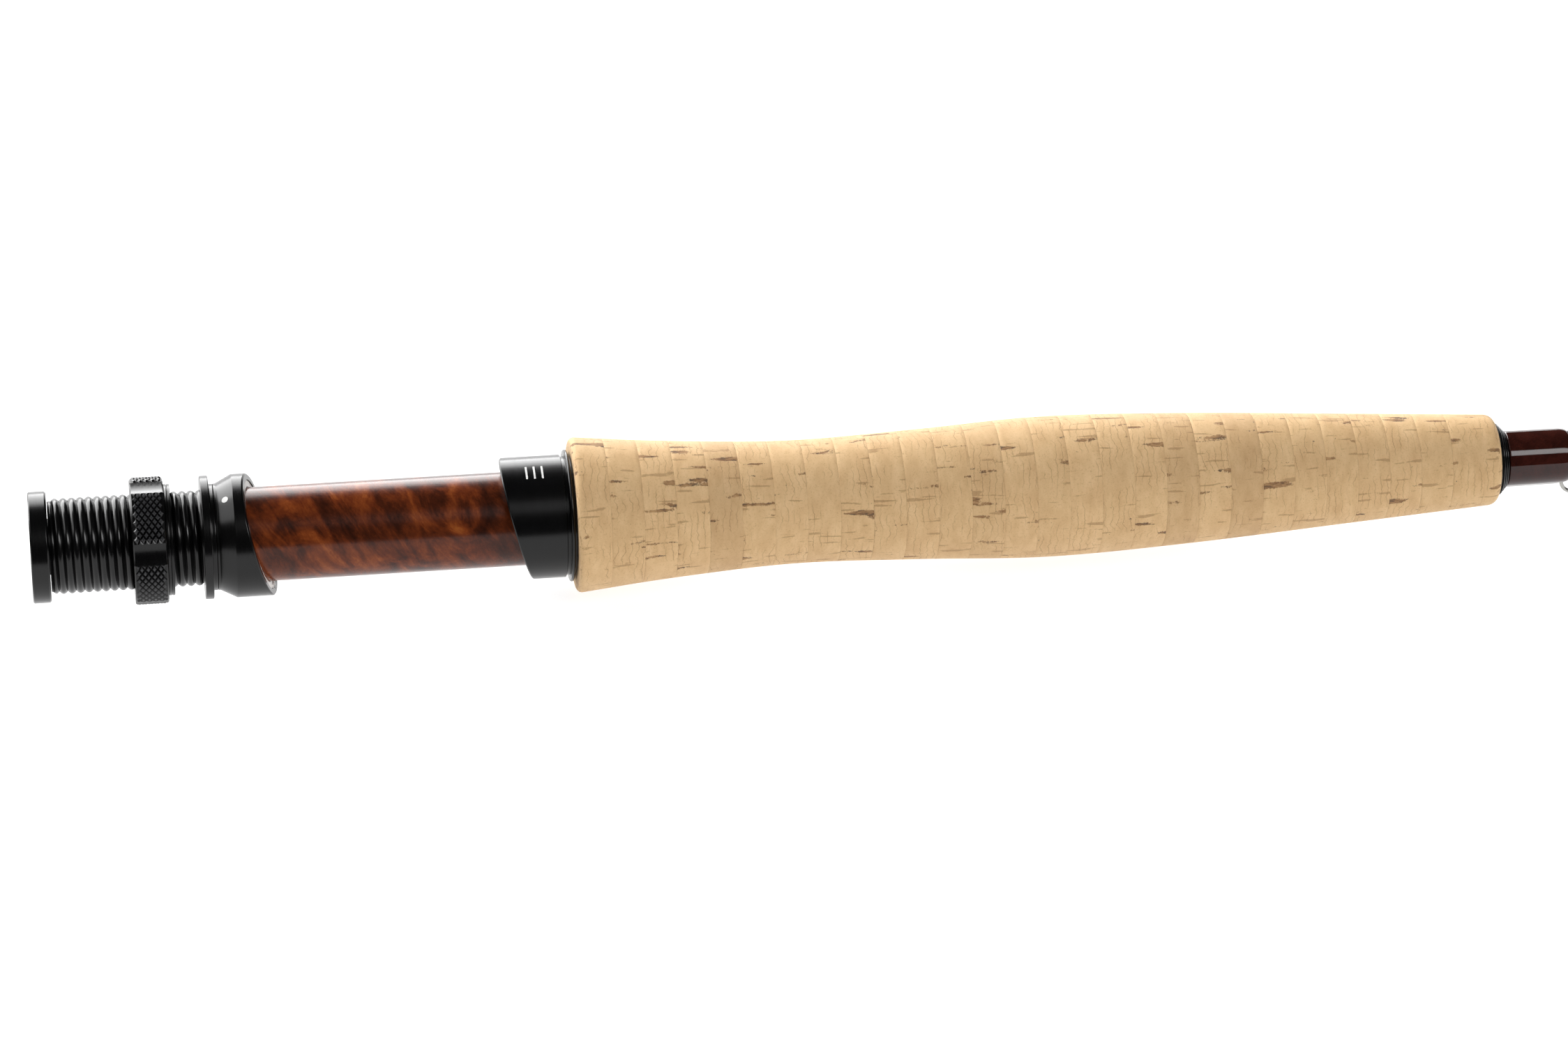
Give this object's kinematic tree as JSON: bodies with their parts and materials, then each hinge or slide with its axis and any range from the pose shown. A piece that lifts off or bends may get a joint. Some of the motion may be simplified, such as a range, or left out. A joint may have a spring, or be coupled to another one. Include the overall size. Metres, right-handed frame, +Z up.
{
  "type": "fly rod butt section",
  "caption": "Butt section of a travel fly rod: uplocking screw reel seat with wood insert, turned cork grip, hook keeper and a wrapped blank that ends in a spigot ferrule.",
  "frame": {"origin": "centre of the butt cap's flat end face", "axes": "+X along the rod towards its tip, +Z up, and the reel hangs on the -Z side"},
  "size_m": [0.43, 0.0296, 0.0296],
  "materials": {
    "black_anodised": "gloss black anodised, turned",
    "burl_wood": "red-brown burl under clear gloss lacquer",
    "cork": "sanded natural cork, bare",
    "rubber": "smooth black, ribbed",
    "blank_lacquer": "dark burgundy lacquer over graphite",
    "burgundy_wrap": "burgundy thread under clear epoxy",
    "trim_thread": "black thread under clear epoxy",
    "steel": "polished stainless wire",
    "graphite": "ground satin graphite",
    "nylon": "natural white nylon"
  },
  "bodies": {
    "rod": {"butt_cap": "black_anodised", "threaded_barrel": "black_anodised", "wood_insert": "burl_wood", "seat_arbor_rear": "graphite", "seat_arbor_front": "graphite", "fixed_hood": "black_anodised", "trim_ring": "black_anodised", "cork_ring_01": "cork", "cork_ring_02": "cork", "cork_ring_03": "cork", "cork_ring_04": "cork", "cork_ring_05": "cork", "cork_ring_06": "cork", "cork_ring_07": "cork", "cork_ring_08": "cork", "cork_ring_09": "cork", "cork_ring_10": "cork", "cork_ring_11": "cork", "cork_ring_12": "cork", "cork_ring_13": "cork", "cork_ring_14": "cork", "cork_ring_15": "cork", "cork_ring_16": "cork", "cork_ring_17": "cork", "cork_ring_18": "cork", "cork_ring_19": "cork", "cork_ring_20": "cork", "cork_ring_21": "cork", "cork_ring_22": "cork", "cork_ring_23": "cork", "cork_ring_24": "cork", "cork_ring_25": "cork", "cork_ring_26": "cork", "cork_ring_27": "cork", "cork_ring_28": "cork", "winding_check": "rubber", "blank": "blank_lacquer", "ferrule_spigot": "graphite", "keeper_wrap_rear": "burgundy_wrap", "keeper_wrap_front": "burgundy_wrap", "ferrule_wrap": "burgundy_wrap", "ferrule_trim": "trim_thread", "hook_keeper": "steel"},
    "ring_carriage": {"thrust_washer": "black_anodised"},
    "ring": {"locking_ring": "black_anodised"},
    "hood_carriage": {"hood_collar": "black_anodised"},
    "hood": {"sliding_hood": "black_anodised", "hood_liner": "nylon"}
  },
  "joints": [
    {"name": "ring_travel", "type": "slide", "parent": "rod", "child": "ring_carriage", "axis": [1, 0, 0], "range_m": [-0.01441, 0.00521]},
    {"name": "ring_turn", "type": "hinge", "parent": "ring_carriage", "child": "ring", "pos_m": [0.0223, 0, 0], "axis": [1, 0, 0], "range_deg": [-3240, 1170]},
    {"name": "hood_travel", "type": "slide", "parent": "rod", "child": "hood_carriage", "axis": [1, 0, 0], "range_m": [0, 0.042]},
    {"name": "hood_swivel", "type": "hinge", "parent": "hood_carriage", "child": "hood", "pos_m": [0.0395, 0, 0], "axis": [1, 0, 0], "continuous": true}
  ],
  "couplings": [
    {"joint": "ring_travel", "follows": "ring_turn", "m_per_rad": 0.00025465}
  ]
}
